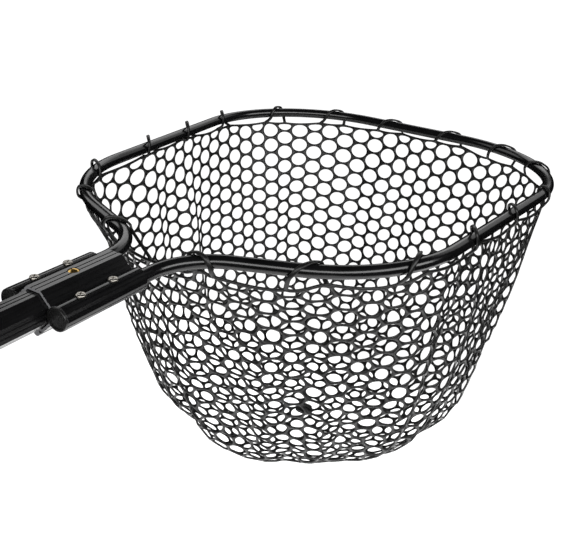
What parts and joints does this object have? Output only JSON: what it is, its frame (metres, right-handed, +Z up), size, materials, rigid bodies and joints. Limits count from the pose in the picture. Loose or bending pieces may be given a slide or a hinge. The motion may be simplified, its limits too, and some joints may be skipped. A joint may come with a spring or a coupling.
{
  "type": "landing net",
  "caption": "Landing net with a moulded rubber bag on a bent tube hoop, held by a ribbed yoke that slides on a fluted octagonal handle.",
  "frame": {"origin": "on the handle's axis where the hand holds it, 150 mm ahead of the handle tube's rear end", "axes": "+X along the handle towards the hoop's tip, +Y to the left, +Z up, out of the bag's mouth"},
  "size_m": [1.6443, 0.533, 0.3952],
  "materials": {
    "anodised_handle": "black anodised, satin, fluted",
    "anodised_yoke": "black anodised extrusion with bright cut ends",
    "anodised_hoop": "black anodised tube, satin",
    "black_plastic": "moulded, satin",
    "cap_rubber": "moulded, matt",
    "brass": "polished",
    "nickel_screws": "nickel plated",
    "spring_steel": "rolled strip",
    "net_rubber": "moulded, slightly glossy"
  },
  "bodies": {
    "handle": {"handle_tube": "anodised_handle", "handle_front_plug": "black_plastic", "handle_end_cap": "cap_rubber", "lock_button_spring": "spring_steel", "stow_button_spring": "spring_steel"},
    "lock_button": {"lock_button": "brass"},
    "stow_button": {"stow_button": "brass"},
    "head": {"yoke": "anodised_yoke", "hoop": "anodised_hoop", "socket_plug_left": "black_plastic", "socket_plug_right": "black_plastic", "hoop_screws_left": "nickel_screws", "hoop_screws_right": "nickel_screws", "net_bag": "net_rubber", "net_rim": "net_rubber", "net_loops": "net_rubber"}
  },
  "joints": [
    {"name": "handle_slide", "type": "slide", "parent": "handle", "child": "head", "axis": [-1, 0, 0], "range_m": [0, 0.62]},
    {"name": "lock_button_press", "type": "slide", "parent": "handle", "child": "lock_button", "axis": [0, 0, -1], "range_m": [0, 0.0043], "stiffness_N_per_m": 2500, "springref_m": -0.001, "deforming": ["lock_button_spring"]},
    {"name": "stow_button_press", "type": "slide", "parent": "handle", "child": "stow_button", "axis": [0, 0, -1], "range_m": [0, 0.0043], "stiffness_N_per_m": 2500, "springref_m": -0.001, "deforming": ["stow_button_spring"]}
  ]
}
